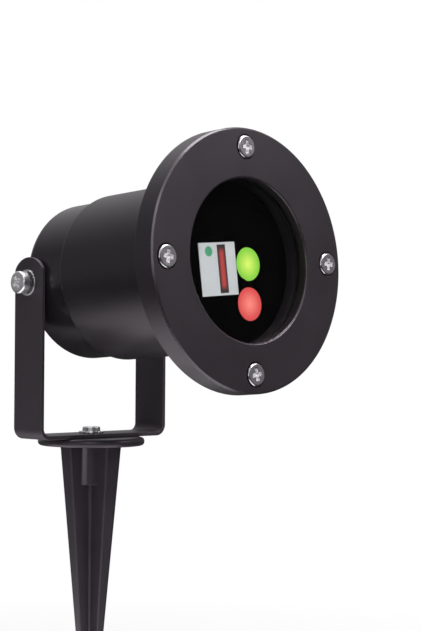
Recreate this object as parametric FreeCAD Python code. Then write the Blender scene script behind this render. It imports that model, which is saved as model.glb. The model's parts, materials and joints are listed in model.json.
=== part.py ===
import FreeCAD, Part
import math
import os

# A garden laser projector: a sealed round head that tilts in a bent yoke, on a stake pushed into soil.
# Lengths are in millimetres. +Z is up, the beams leave towards -Y, and the tilt pivot lies along X.
# The origin is the centre of the stake collar's underside, which rests on the ground.

V = FreeCAD.Vector
full_turn = 360
quarter_turn = 90

# Shared clearances
overrun = 1.0             # how far a cutting solid runs past the faces that it cuts
thread_gap = 0.05         # radial gap between a screw and its tapped hole
pass_gap = 0.25           # radial gap between a screw and a plain hole
hinge_gap = 0.08          # radial running gap where a screw is a hinge pin
slip_gap = 0.1            # radial gap between parts that slide together by hand
seal_gap = 0.02           # gap between a rubber ring and its groove
same_place = 0.001        # points nearer than this count as one

# Head: lengths are measured ahead of the tilt pivot, along the beam
head_tilt = 4.0           # degrees that the head looks up at rest
pivot_drop = 1.5          # head's axis down to the tilt pivot
head_reach = 97.8         # pivot to the bezel's front face
barrel_tail = 20.2        # pivot to the barrel's rear edge
cap_tail = 5.2            # pivot back to the rear face
cap_spigot = 13.0         # length of the rear cap inside the barrel

# Barrel
barrel_radius = 35.8
barrel_wall = 1.8
flange_thickness = 5.5
flange_gap = 0.4
flange_root_round = 2.0
barrel_edge_round = 1.2

# Bezel
bezel_rim = 18.2          # barrel's side to the bezel's outside
bezel_depth = 10.0
bezel_plate = 4.0
bezel_skirt = 2.6
bezel_edge_round = 1.4
opening_inset = 2.4       # barrel's side in to the window opening
opening_chamfer = 0.9
bezel_screw_share = 0.566  # place of the screws across the rim
bezel_screw_count = 4
counterbore_radius = 5.2
counterbore_depth = 1.9

# Screws: shank radius, head radius and head height of each size
m5_radius = 2.5
m5_head_radius = 4.75
m5_head_height = 2.7
small_radius = 1.25
small_head_radius = 2.2
small_head_height = 1.5
head_round_share = 0.7    # edge rounding of a pan head as a share of its height

# Window
glass_thickness = 3.0
glass_rim = 4.4           # how far the glass reaches past the opening
glass_gap = 0.3
gasket_thickness = 1.0
seal_land = 2.8           # glass recess to the middle of the seal groove
seal_radius = 0.75

# Aperture plate with the two beam windows
plate_setback = 12.5      # bezel's front face to the plate
plate_thickness = 2.0
plate_gap = 0.2
aperture_radius = 6.0
grating_radius = 6.9
grating_thickness = 0.8
grating_seat = 1.0
beam_spacing = 16.5       # green beam down to the red one
beam_side_share = 0.32    # middle of the two beams, to the +X side, as a share of the bore
beam_drop_share = 0.2426  # and how far it lies below the axis
lug_angles = (50, 160, 265)
lug_inset = 2.8           # bore to the middle of the lugs' screws
lug_width = 7.0
lug_length = 6.0
plate_screw_length = 7.0
sticker_width = 20.6
sticker_height = 21.6
sticker_thickness = 0.25
sticker_offset = 17.6     # beams to the middle of the sticker
sticker_drop = 2.6
sticker_turn = 4.0

# Laser modules and the block that holds them
module_radius = 6.0
module_edge = 0.5
green_module_length = 35.0
red_module_length = 24.0
module_setback = 0.2
lens_radius = 4.0
lens_thickness = 2.0
lens_depth = 1.0
lens_crown = 1.0
block_wall = 5.0
block_gap = 1.0           # least room between the block and the barrel
block_length = 18.0
block_screw_length = 9.0
block_screw_offset = 4.5  # beams to each of the block's two screws
set_screw_radius = 1.5
set_screw_reach_share = 0.8

# Driver board on posts inside the rear cap
board_ahead = 14.0
board_gap = 4.3           # board's edge to the rear cap's wall
board_thickness = 1.6
post_inset = 7.0          # board's edge to the middle of the posts
post_radius = 2.8
post_angles = (90, 210, 330)
board_screw_length = 6.0
coil_radius = 5.0
coil_height = 7.0
coil_place = (-9.0, 6.0)
capacitor_radius = 4.0
capacitor_height = 11.0
capacitor_place = (9.0, 12.0)
chip_size = (7.0, 5.0, 1.8)
chip_place = (-6.0, -10.0)
connector_side = 6.0
connector_height = 6.5
lead_radius = 1.3

# Rear cap
cap_wall = 2.6
cap_floor = 4.0
cap_edge_round = 4.0
cap_seal_radius = 0.7
cap_seal_setback = 5.0    # spigot's end to the middle of the seal groove
pivot_boss_radius = 6.0
pivot_boss_depth = 13.0
pivot_hole_depth = 10.0
pivot_seat_depth = 0.6

# Cable gland in the middle of the rear face
gland_thread_radius = 6.0
gland_bore_radius = 3.6
gland_washer_radius = 9.0
gland_washer_thickness = 1.0
gland_hex_radius = 9.2
gland_hex_thickness = 4.0
gland_stem_length = 7.0
gland_stem_radius = 5.4
gland_nut_radius = 8.0
gland_nut_length = 11.0
gland_nut_flutes = 12
gland_flute_radius = 1.2
gland_nut_round = 2.6
gland_mouth_radius = 3.1
gland_seal_bore = 2.6
gland_seal_length = 7.5
locknut_radius = 9.6
locknut_thickness = 3.0

# Yoke: one bent steel strap
yoke_thickness = 1.8
yoke_width = 18.6
yoke_bend = 3.2           # inside radius of the bends
arm_end_share = 1.18      # arc of the arms' ends about the pivot, as a share of half the width
arm_corner_round = 3.0
arm_gap = 0.35            # rear cap to the arm
pivot_above_strap = 67.2  # strap's underside to the pivot

# Pivot hardware, one set on each side
pad_radius = 4.6
pivot_washer_radius = 5.6
pivot_washer_thickness = 1.2
spring_washer_radius = 4.4
spring_washer_thickness = 1.5
spring_washer_split = 0.9
pivot_head_radius = 4.8
pivot_head_height = 3.6

# Stake
collar_radius = 23.5
collar_thickness = 3.5
collar_edge_round = 1.6
stake_length = 138.0
stake_reach = 15.0        # axis to the outer edge of a rib under the collar
rib_count = 4
rib_thickness = 7.4
rib_edge_round = 1.0
rib_root_round = 1.6
stake_tip_share = 0.09    # size of the tip's section as a share of the top section
boss_radius = 5.75
boss_length = 17.0
boss_edge_round = 0.6
stake_screw_depth = 12.0
stake_screw_head_radius = 3.9
stake_screw_head_height = 2.0
stake_washer_radius = 5.6
stake_washer_thickness = 0.8

# Places that follow from the sizes above
pivot_height = collar_thickness + pivot_above_strap
arm_end_radius = yoke_width / 2 * arm_end_share
bezel_radius = barrel_radius + bezel_rim
bezel_screw_circle = barrel_radius + bezel_rim * bezel_screw_share
opening_radius = barrel_radius - opening_inset
flange_front = head_reach - bezel_plate
flange_back = flange_front - flange_thickness
flange_radius = bezel_radius - bezel_skirt - flange_gap
bore_radius = barrel_radius - barrel_wall
cap_radius = bore_radius - slip_gap
glass_radius = opening_radius + glass_rim
glass_seat_radius = glass_radius + glass_gap
seal_circle = glass_seat_radius + seal_land
glass_back = flange_front - glass_thickness
glass_seat_floor = glass_back - gasket_thickness
plate_front = head_reach - plate_setback
plate_back = plate_front - plate_thickness
spigot_end = barrel_tail + cap_spigot
cap_bore = cap_radius - cap_wall
cap_back = -cap_tail
floor_front = cap_back + cap_floor
block_back = plate_back - block_length
module_front = plate_back - module_setback
lug_circle = bore_radius - lug_inset
beam_side = bore_radius * beam_side_share
beam_middle = -bore_radius * beam_drop_share
green_beam_height = beam_middle + beam_spacing / 2
red_beam_height = beam_middle - beam_spacing / 2
beams = ((beam_side, green_beam_height), (beam_side, red_beam_height))
block_radius = module_radius + block_wall
board_radius = cap_bore - board_gap
post_circle = board_radius - post_inset
arm_inside = cap_radius + arm_gap
arm_outside = arm_inside + yoke_thickness
pad_seat = cap_radius - pivot_seat_depth
strap_top = collar_thickness + yoke_thickness
gland_face = cap_back - gland_washer_thickness
gland_hex_back = gland_face - gland_hex_thickness
gland_stem_back = gland_hex_back - gland_stem_length
gland_nut_back = gland_hex_back - gland_nut_length


def disc(radius, start, end):
    """A round bar along the axis, from one distance to another."""
    return Part.makeCylinder(radius, end - start, V(0, 0, start))


def tube(inner, outer, start, end):
    """A round bar with a bore right through it."""
    return disc(outer, start, end).cut(disc(inner, start - overrun, end + overrun))


def outward(solid):
    """The same solid with its faces pointing outwards."""
    return solid if solid.Volume > 0 else solid.reversed()


def turned(profile):
    """A closed profile of radius and axial distance, turned about the axis."""
    points = [V(radius, 0, along) for radius, along in profile]
    face = Part.Face(Part.makePolygon(points + points[:1]))
    return outward(face.revolve(V(0, 0, 0), V(0, 0, 1), full_turn))


def round_edges(shape, radius, along):
    """The circular edges about the axis with one radius at one distance."""
    found = []
    for edge in shape.Edges:
        if not isinstance(edge.Curve, Part.Circle):
            continue
        centre = edge.Curve.Center
        off_axis = math.hypot(centre.x, centre.y)
        misses = (off_axis, edge.Curve.Radius - radius, centre.z - along)
        if max(abs(miss) for miss in misses) < same_place:
            found.append(edge)
    return found


def rounded(shape, size, *circles):
    """A shape with its edges on the named circles rounded."""
    edges = [edge for radius, along in circles for edge in round_edges(shape, radius, along)]
    return shape.makeFillet(size, edges)


def chamfered(shape, size, *circles):
    """A shape with its edges on the named circles chamfered."""
    edges = [edge for radius, along in circles for edge in round_edges(shape, radius, along)]
    return shape.makeChamfer(size, edges)


def outline(corners, roundings):
    """A closed wire through the corners, each one rounded by its own radius."""
    starts = []
    ends = []
    middles = []
    for index, corner in enumerate(corners):
        back = (corners[index - 1] - corner).normalize()
        onward = (corners[(index + 1) % len(corners)] - corner).normalize()
        half_angle = back.getAngle(onward) / 2
        radius = roundings[index]
        trim = radius / math.tan(half_angle)
        starts.append(corner + back * trim)
        ends.append(corner + onward * trim)
        inward = (back + onward).normalize()
        middles.append(corner + inward * (radius / math.sin(half_angle) - radius))
    edges = []
    for index in range(len(corners)):
        if roundings[index] > 0:
            edges.append(Part.Arc(starts[index], middles[index], ends[index]).toShape())
        following = starts[(index + 1) % len(corners)]
        if ends[index].distanceToPoint(following) > same_place:
            edges.append(Part.LineSegment(ends[index], following).toShape())
    return Part.Wire(edges)


def pan_screw(shank_radius, head_radius, head_height, length):
    """A pan-head screw that points down, with the head's underside at zero."""
    head = disc(head_radius, 0, head_height)
    head = rounded(head, head_height * head_round_share, (head_radius, head_height))
    return head.fuse(disc(shank_radius, -length, 0)).removeSplitter()


def small_screw(length):
    """One of the small screws inside the head."""
    return pan_screw(small_radius, small_head_radius, small_head_height, length)


def split_washer(outer):
    """A spring washer: a ring with a slanting split, on the zero plane."""
    ring = tube(m5_radius + slip_gap, outer, 0, spring_washer_thickness)
    split = Part.makeBox(outer, spring_washer_split, spring_washer_thickness + 2 * overrun)
    split.translate(V(0, -spring_washer_split / 2, -overrun))
    return ring.cut(split)


def on_circle(shape, radius, angle):
    """A copy of a shape moved out from the axis at an angle."""
    copy = shape.copy()
    turn = math.radians(angle)
    copy.translate(V(radius * math.cos(turn), radius * math.sin(turn), 0))
    return copy


def moved(shape, x, y, z):
    """A copy of a shape at another place."""
    copy = shape.copy()
    copy.translate(V(x, y, z))
    return copy


def group(shapes):
    """Separate solids that share one node."""
    return Part.makeCompound(shapes)


def screw_angles():
    """The bezel screws' angles, the first one at the top."""
    return [quarter_turn + full_turn / bezel_screw_count * index for index in range(bezel_screw_count)]


# The head's pieces are built about an upright axis that points ahead, with x to +X and y up

def make_bezel():
    """Cup-shaped front ring: a plate with the window opening, and a skirt round the flange."""
    skirt_inside = bezel_radius - bezel_skirt
    bezel_back = head_reach - bezel_depth
    ring = turned([
        (opening_radius, head_reach),
        (opening_radius, flange_front),
        (skirt_inside, flange_front),
        (skirt_inside, bezel_back),
        (bezel_radius, bezel_back),
        (bezel_radius, head_reach),
    ])
    ring = rounded(ring, bezel_edge_round, (bezel_radius, head_reach))
    ring = chamfered(ring, opening_chamfer, (opening_radius, head_reach))
    seat = disc(counterbore_radius, head_reach - counterbore_depth, head_reach + overrun)
    hole = disc(m5_radius + pass_gap, flange_front - overrun, head_reach)
    for angle in screw_angles():
        ring = ring.cut(on_circle(seat.fuse(hole), bezel_screw_circle, angle))
    return ring


def make_bezel_screws():
    """Pan-head screws that sit in the bezel's counterbores and end inside the flange."""
    length = head_reach - counterbore_depth - flange_back
    screw = pan_screw(m5_radius, m5_head_radius, m5_head_height, length)
    screw = moved(screw, 0, 0, head_reach - counterbore_depth)
    return group([on_circle(screw, bezel_screw_circle, angle) for angle in screw_angles()])


def make_bezel_seal():
    """Rubber ring between the flange and the bezel."""
    return Part.makeTorus(seal_circle, seal_radius - seal_gap, V(0, 0, flange_front - seal_radius))


def make_front_glass():
    """Clear disc in the flange's recess."""
    return disc(glass_radius, glass_back, flange_front)


def make_glass_gasket():
    """Flat rubber ring that the glass is pressed against."""
    return tube(bore_radius, glass_radius, glass_seat_floor, glass_back)


def make_barrel():
    """Front tube with a flange, a glass recess, a seal groove and lugs for the aperture plate."""
    body = turned([
        (bore_radius, barrel_tail),
        (barrel_radius, barrel_tail),
        (barrel_radius, flange_back),
        (flange_radius, flange_back),
        (flange_radius, flange_front),
        (glass_seat_radius, flange_front),
        (glass_seat_radius, glass_seat_floor),
        (bore_radius, glass_seat_floor),
    ])
    body = rounded(body, flange_root_round, (barrel_radius, flange_back))
    body = rounded(body, barrel_edge_round, (barrel_radius, barrel_tail))
    groove_floor = flange_front - 2 * seal_radius
    groove = tube(seal_circle - seal_radius, seal_circle + seal_radius, groove_floor, head_reach)
    body = body.cut(groove)
    tapped = disc(m5_radius + thread_gap, flange_back - overrun, head_reach)
    for angle in screw_angles():
        body = body.cut(on_circle(tapped, bezel_screw_circle, angle))
    lug_inside = 2 * lug_circle - bore_radius
    wall_middle = (bore_radius + barrel_radius) / 2
    lug = Part.makeBox(barrel_radius - lug_inside, lug_width, lug_length)
    lug.translate(V(lug_inside, -lug_width / 2, plate_back - lug_length))
    lug = lug.common(disc(wall_middle, plate_back - lug_length, plate_back))
    lug = lug.cut(moved(disc(small_radius + thread_gap, 0, head_reach), lug_circle, 0, 0))
    for angle in lug_angles:
        turned_lug = lug.copy()
        turned_lug.rotate(V(0, 0, 0), V(0, 0, 1), angle)
        body = body.fuse(turned_lug)
    return body.removeSplitter()


def make_aperture_plate():
    """Black plate across the barrel, with a stepped hole for each beam."""
    plate = disc(bore_radius - plate_gap, plate_back, plate_front)
    for side, height in beams:
        hole = disc(aperture_radius, plate_back - overrun, plate_front)
        seat = disc(grating_radius + slip_gap, plate_front - grating_seat, plate_front + overrun)
        plate = plate.cut(moved(hole.fuse(seat), side, height, 0))
    hole = disc(small_radius + pass_gap, plate_back - overrun, plate_front + overrun)
    for angle in lug_angles:
        plate = plate.cut(on_circle(hole, lug_circle, angle))
    for side, height in block_screw_places():
        plate = plate.cut(moved(hole, side, height, 0))
    return plate


def make_plate_screws():
    """Screws that hold the aperture plate to the barrel's lugs."""
    screw = moved(small_screw(plate_screw_length), 0, 0, plate_front)
    return group([on_circle(screw, lug_circle, angle) for angle in lug_angles])


def make_sticker():
    """Blank sticker on the aperture plate, slightly turned."""
    corner = V(-sticker_width / 2, -sticker_height / 2, 0)
    sticker = Part.makeBox(sticker_width, sticker_height, sticker_thickness, corner)
    sticker.rotate(V(0, 0, 0), V(0, 0, 1), sticker_turn)
    return moved(sticker, beam_side - sticker_offset, -sticker_drop, plate_front)


def make_grating(side, height):
    """Patterned disc that splits one beam into a field of dots."""
    start = plate_front - grating_seat
    return moved(disc(grating_radius, start, start + grating_thickness), side, height, 0)


def make_module(side, height, length):
    """Laser module: a round metal housing with a lens pocket at the front."""
    body = disc(module_radius, module_front - length, module_front)
    body = chamfered(body, module_edge, (module_radius, module_front), (module_radius, module_front - length))
    pocket = disc(lens_radius + slip_gap, module_front - lens_depth - lens_thickness, module_front + overrun)
    return moved(body.cut(pocket), side, height, 0)


def make_lens(side, height):
    """Round lens with one flat side and one domed side."""
    back = module_front - lens_depth - lens_thickness
    edge_front = module_front - lens_depth - lens_crown
    dome_radius = (lens_radius ** 2 + lens_crown ** 2) / (2 * lens_crown)
    bar = disc(lens_radius, back, edge_front + lens_crown)
    dome = Part.makeSphere(dome_radius, V(0, 0, edge_front + lens_crown - dome_radius))
    return moved(bar.common(dome), side, height, 0)


def block_screw_places():
    """Where the block's two screws pass, beside the middle of the two modules."""
    return [(beam_side + side * block_screw_offset, beam_middle) for side in (-1, 1)]


def make_module_block():
    """Metal block with a long round-ended outline, kept clear of the barrel, and a bore for each module."""
    low = red_beam_height - block_radius
    high = green_beam_height + block_radius
    corners = [
        V(beam_side - block_radius, low, block_back),
        V(beam_side + block_radius, low, block_back),
        V(beam_side + block_radius, high, block_back),
        V(beam_side - block_radius, high, block_back),
    ]
    face = Part.Face(outline(corners, [block_radius] * len(corners)))
    block = outward(face.extrude(V(0, 0, block_length)))
    block = block.common(disc(bore_radius - block_gap, block_back, plate_back))
    for side, height in beams:
        bore = disc(module_radius + thread_gap, block_back - overrun, plate_back + overrun)
        block = block.cut(moved(bore, side, height, 0))
        block = block.cut(set_screw_bar(height, set_screw_radius + thread_gap, 0, block_radius + overrun))
    tapped = disc(small_radius + thread_gap, plate_front - block_screw_length - overrun, plate_front)
    for side, height in block_screw_places():
        block = block.cut(moved(tapped, side, height, 0))
    return block


def set_screw_bar(height, radius, start, end):
    """A bar out through the block's wall, between two distances from a module's axis."""
    root = V(beam_side + start, height, (block_back + plate_back) / 2)
    return Part.makeCylinder(radius, end - start, root, V(1, 0, 0))


def make_module_set_screws():
    """Headless screws that clamp the modules in their block."""
    start = module_radius + thread_gap
    end = start + block_wall * set_screw_reach_share
    return group([set_screw_bar(height, set_screw_radius, start, end) for side, height in beams])


def make_block_screws():
    """Screws through the aperture plate into the block."""
    screw = moved(small_screw(block_screw_length), 0, 0, plate_front)
    return group([moved(screw, side, height, 0) for side, height in block_screw_places()])


def make_driver_board():
    """Round circuit board with a hole over each post."""
    board = disc(board_radius, board_ahead, board_ahead + board_thickness)
    hole = disc(small_radius + pass_gap, board_ahead - overrun, board_ahead + board_thickness + overrun)
    for angle in post_angles:
        board = board.cut(on_circle(hole, post_circle, angle))
    return board


def make_board_components():
    """Coil, capacitor, chip and the two lead connectors on the board."""
    top = board_ahead + board_thickness
    coil = moved(disc(coil_radius, top, top + coil_height), *coil_place, 0)
    capacitor = moved(disc(capacitor_radius, top, top + capacitor_height), *capacitor_place, 0)
    chip = moved(Part.makeBox(*chip_size), *chip_place, top)
    pieces = [coil, capacitor, chip]
    for side, height in beams:
        corner = V(side - connector_side / 2, height - connector_side / 2, top)
        pieces.append(Part.makeBox(connector_side, connector_side, connector_height, corner))
    return group(pieces)


def make_board_posts():
    """Threaded posts between the rear cap's floor and the board."""
    hole_start = board_ahead - board_screw_length
    post = disc(post_radius, floor_front, board_ahead)
    post = post.cut(disc(small_radius + thread_gap, hole_start, board_ahead + overrun))
    return group([on_circle(post, post_circle, angle) for angle in post_angles])


def make_board_screws():
    """Screws that hold the board to its posts."""
    screw = moved(small_screw(board_screw_length), 0, 0, board_ahead + board_thickness)
    return group([on_circle(screw, post_circle, angle) for angle in post_angles])


def make_module_leads():
    """Insulated leads from the board's connectors to the two modules."""
    start = board_ahead + board_thickness + connector_height
    leads = []
    for (side, height), length in zip(beams, (green_module_length, red_module_length)):
        leads.append(moved(disc(lead_radius, start, module_front - length), side, height, 0))
    return group(leads)


def make_rear_cap():
    """Rear cup whose open end slides into the barrel, with a tapped boss for each pivot bolt."""
    cup = turned([
        (0, cap_back),
        (cap_radius, cap_back),
        (cap_radius, spigot_end),
        (cap_bore, spigot_end),
        (cap_bore, floor_front),
        (0, floor_front),
    ])
    cup = rounded(cup, cap_edge_round, (cap_radius, cap_back))
    envelope = rounded(disc(cap_radius, cap_back, spigot_end), cap_edge_round, (cap_radius, cap_back))
    groove_middle = spigot_end - cap_seal_setback
    groove_floor = bore_radius - 2 * cap_seal_radius
    groove_back = groove_middle - cap_seal_radius
    groove = tube(groove_floor, cap_radius + overrun, groove_back, groove_middle + cap_seal_radius)
    cup = cup.cut(groove)
    pivot_middle = V(0, -pivot_drop, 0)
    for side in (-1, 1):
        outwards = V(side, 0, 0)
        boss_start = pivot_middle + outwards * (cap_radius - pivot_boss_depth)
        hole_start = pivot_middle + outwards * (cap_radius - pivot_hole_depth)
        seat_start = pivot_middle + outwards * pad_seat
        boss = Part.makeCylinder(pivot_boss_radius, pivot_boss_depth, boss_start, outwards)
        hole = Part.makeCylinder(m5_radius + thread_gap, pivot_hole_depth + overrun, hole_start, outwards)
        seat_depth = pivot_seat_depth + overrun
        seat = Part.makeCylinder(pad_radius + slip_gap, seat_depth, seat_start, outwards)
        cup = cup.fuse(boss.common(envelope)).cut(hole).cut(seat)
    entry = disc(gland_thread_radius + thread_gap, cap_back - overrun, floor_front + overrun)
    return cup.cut(entry).removeSplitter()


def make_cap_seal():
    """Rubber ring in the spigot's groove, against the barrel's bore."""
    middle = spigot_end - cap_seal_setback
    return Part.makeTorus(bore_radius - cap_seal_radius, cap_seal_radius - seal_gap, V(0, 0, middle))


def hexagon(radius, start, end):
    """A six-sided bar along the axis."""
    sides = 6
    step = full_turn / sides
    corners = [on_circle(Part.Vertex(0, 0, start), radius, step * index).Point for index in range(sides)]
    face = Part.Face(Part.makePolygon(corners + corners[:1]))
    return outward(face.extrude(V(0, 0, end - start)))


def make_gland_washer():
    """Sealing washer under the cable gland."""
    return tube(gland_thread_radius + slip_gap, gland_washer_radius, gland_face, cap_back)


def make_gland_body():
    """Gland body: a thread through the cap's floor, a hexagon and a stem for the nut."""
    thread = disc(gland_thread_radius, gland_face, floor_front + locknut_thickness)
    body = hexagon(gland_hex_radius, gland_hex_back, gland_face).fuse(thread)
    body = body.fuse(disc(gland_stem_radius, gland_stem_back, gland_hex_back))
    bore = disc(gland_bore_radius, gland_stem_back - overrun, floor_front + locknut_thickness + overrun)
    return body.cut(bore).removeSplitter()


def make_gland_nut():
    """Fluted dome nut that squeezes the gland's seal."""
    nut = disc(gland_nut_radius, gland_nut_back, gland_hex_back)
    nut = rounded(nut, gland_nut_round, (gland_nut_radius, gland_nut_back))
    nut = nut.cut(disc(gland_stem_radius + slip_gap, gland_stem_back, gland_hex_back + overrun))
    nut = nut.cut(disc(gland_mouth_radius, gland_nut_back - overrun, gland_hex_back))
    flute = disc(gland_flute_radius, gland_nut_back - overrun, gland_hex_back + overrun)
    for index in range(gland_nut_flutes):
        angle = full_turn / gland_nut_flutes * index
        nut = nut.cut(on_circle(flute, gland_nut_radius + gland_flute_radius / 2, angle))
    return nut


def make_gland_seal():
    """Rubber bush that grips the supply lead."""
    end = gland_stem_back + gland_seal_length
    return tube(gland_seal_bore, gland_bore_radius - slip_gap, gland_stem_back, end)


def make_gland_locknut():
    """Nut that holds the gland inside the rear cap."""
    end = floor_front + locknut_thickness
    nut = hexagon(locknut_radius, floor_front, end)
    bore = disc(gland_thread_radius + thread_gap, floor_front - overrun, end + overrun)
    return nut.cut(bore)


def on_both_sides(shape):
    """A piece built along the axis, laid along +X and along -X at the pivot."""
    copies = []
    for side in (-1, 1):
        copy = shape.copy()
        copy.rotate(V(0, 0, 0), V(0, 1, 0), side * quarter_turn)
        copies.append(moved(copy, 0, -pivot_drop, 0))
    return group(copies)


def make_pivot_pads():
    """Thin washers in the cap's seats that the arms turn against."""
    return on_both_sides(tube(m5_radius + slip_gap, pad_radius, pad_seat, arm_inside))


def make_pivot_washers():
    """Flat washers on the outside of the arms."""
    end = arm_outside + pivot_washer_thickness
    return on_both_sides(tube(m5_radius + slip_gap, pivot_washer_radius, arm_outside, end))


def make_pivot_spring_washers():
    """Spring washers under the pivot bolts' heads."""
    start = arm_outside + pivot_washer_thickness
    return on_both_sides(moved(split_washer(spring_washer_radius), 0, 0, start))


def make_pivot_bolts():
    """Bolts that clamp the arms to the rear cap and are the tilt hinge's pins."""
    head_start = arm_outside + pivot_washer_thickness + spring_washer_thickness
    length = head_start - (cap_radius - pivot_hole_depth)
    bolt = pan_screw(m5_radius, pivot_head_radius, pivot_head_height, length)
    return on_both_sides(moved(bolt, 0, 0, head_start))


# The yoke and the stake are built upright, where they stand

def straight_edges(shape, height):
    """The straight edges of a shape that lie level at one height."""
    found = []
    for edge in shape.Edges:
        level = all(abs(vertex.Z - height) < same_place for vertex in edge.Vertexes)
        if level and isinstance(edge.Curve, Part.Line):
            found.append(edge)
    return found


def make_yoke():
    """One strap bent into a U, whose arms end in an arc about the pivot."""
    top = pivot_height + arm_end_radius
    section_corners = [
        V(-arm_outside, 0, top),
        V(-arm_outside, 0, collar_thickness),
        V(arm_outside, 0, collar_thickness),
        V(arm_outside, 0, top),
        V(arm_inside, 0, top),
        V(arm_inside, 0, strap_top),
        V(-arm_inside, 0, strap_top),
        V(-arm_inside, 0, top),
    ]
    outer_bend = yoke_bend + yoke_thickness
    section = Part.Face(outline(section_corners, [0, outer_bend, outer_bend, 0, 0, yoke_bend, yoke_bend, 0]))
    section.translate(V(0, -yoke_width / 2, 0))
    strap = outward(section.extrude(V(0, yoke_width, 0)))
    low_corner = V(-arm_outside, -yoke_width / 2, collar_thickness)
    below = Part.makeBox(2 * arm_outside, yoke_width, pivot_above_strap, low_corner)
    arm_end = Part.makeCylinder(arm_end_radius, 2 * arm_outside, V(-arm_outside, 0, pivot_height), V(1, 0, 0))
    strap = strap.common(below.fuse(arm_end)).removeSplitter()
    corner_height = pivot_height + math.sqrt(arm_end_radius ** 2 - (yoke_width / 2) ** 2)
    strap = strap.makeFillet(arm_corner_round, straight_edges(strap, corner_height))
    pivot_start = V(-arm_outside - overrun, 0, pivot_height)
    pivot_reach = 2 * (arm_outside + overrun)
    pivot_hole = Part.makeCylinder(m5_radius + hinge_gap, pivot_reach, pivot_start, V(1, 0, 0))
    stake_hole = disc(m5_radius + hinge_gap, collar_thickness - overrun, strap_top + overrun)
    return strap.cut(pivot_hole).cut(stake_hole)


def rib_cross(scale_share, height):
    """Cross-shaped section of the stake at one height, as a share of the section under the collar."""
    reach = stake_reach * scale_share
    half_rib = rib_thickness / 2 * scale_share
    corners = []
    for index in range(rib_count):
        for x, y in ((half_rib, half_rib), (reach, half_rib), (reach, -half_rib)):
            corner = V(x, y, height)
            corners.append(FreeCAD.Rotation(V(0, 0, 1), -full_turn / rib_count * index).multVec(corner))
    rib_roundings = [rib_root_round, rib_edge_round, rib_edge_round]
    return outline(corners, [radius * scale_share for radius in rib_roundings] * rib_count)


def make_stake():
    """Moulded stake: a round collar, a screw boss and four tapering ribs."""
    collar = disc(collar_radius, 0, collar_thickness)
    collar = rounded(collar, collar_edge_round, (collar_radius, 0), (collar_radius, collar_thickness))
    ribs = outward(Part.makeLoft([rib_cross(1, 0), rib_cross(stake_tip_share, -stake_length)], True, True))
    boss = rounded(disc(boss_radius, -boss_length, 0), boss_edge_round, (boss_radius, -boss_length))
    stake = collar.fuse([ribs, boss])
    hole = disc(m5_radius + thread_gap, collar_thickness - stake_screw_depth, collar_thickness + overrun)
    return stake.cut(hole).removeSplitter()


def make_stake_washer():
    """Flat washer on top of the strap."""
    return tube(m5_radius + slip_gap, stake_washer_radius, strap_top, strap_top + stake_washer_thickness)


def make_stake_screw():
    """Screw that clamps the strap to the collar and is the turning hinge's pin."""
    head_start = strap_top + stake_washer_thickness
    length = head_start - collar_thickness + stake_screw_depth
    screw = pan_screw(m5_radius, stake_screw_head_radius, stake_screw_head_height, length)
    return moved(screw, 0, 0, head_start)


head_parts = {
    "bezel": make_bezel(),
    "bezel_screws": make_bezel_screws(),
    "bezel_seal": make_bezel_seal(),
    "front_glass": make_front_glass(),
    "glass_gasket": make_glass_gasket(),
    "barrel": make_barrel(),
    "aperture_plate": make_aperture_plate(),
    "plate_screws": make_plate_screws(),
    "sticker": make_sticker(),
    "green_grating": make_grating(*beams[0]),
    "red_grating": make_grating(*beams[1]),
    "green_module": make_module(*beams[0], green_module_length),
    "red_module": make_module(*beams[1], red_module_length),
    "green_lens": make_lens(*beams[0]),
    "red_lens": make_lens(*beams[1]),
    "module_block": make_module_block(),
    "module_set_screws": make_module_set_screws(),
    "block_screws": make_block_screws(),
    "driver_board": make_driver_board(),
    "board_components": make_board_components(),
    "board_posts": make_board_posts(),
    "board_screws": make_board_screws(),
    "module_leads": make_module_leads(),
    "rear_cap": make_rear_cap(),
    "cap_seal": make_cap_seal(),
    "gland_washer": make_gland_washer(),
    "gland_body": make_gland_body(),
    "gland_nut": make_gland_nut(),
    "gland_seal": make_gland_seal(),
    "gland_locknut": make_gland_locknut(),
    "pivot_pads": make_pivot_pads(),
    "pivot_washers": make_pivot_washers(),
    "pivot_spring_washers": make_pivot_spring_washers(),
    "pivot_bolts": make_pivot_bolts(),
}

standing_parts = {
    "yoke": make_yoke(),
    "stake": make_stake(),
    "stake_washer": make_stake_washer(),
    "stake_screw": make_stake_screw(),
}

# The head's axis is laid towards -Y, tilted up, and its pivot lifted to the yoke's holes
head_turn = FreeCAD.Rotation(V(1, 0, 0), quarter_turn - head_tilt)
head_middle = V(0, 0, pivot_height) + head_turn.multVec(V(0, pivot_drop, 0))
head_place = FreeCAD.Placement(head_middle, head_turn)

os.makedirs("parts", exist_ok=True)
for name, shape in head_parts.items():
    shape.transformed(head_place.toMatrix()).exportStep(f"parts/{name}.step")
for name, shape in standing_parts.items():
    shape.exportStep(f"parts/{name}.step")

print(len(head_parts) + len(standing_parts), "sub-parts written")
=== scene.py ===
# %% [markdown]
# # A garden laser projector
# The real thing is a sealed round head that tilts in a bent steel strap, on a plastic stake for the lawn.
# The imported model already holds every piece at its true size, so this lesson gives the pieces their looks.
# Everything is in metres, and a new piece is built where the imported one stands.

# %% Load the fixed frame
import json
import math
import bmesh
import bpy
from mathutils import Matrix, Vector


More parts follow.
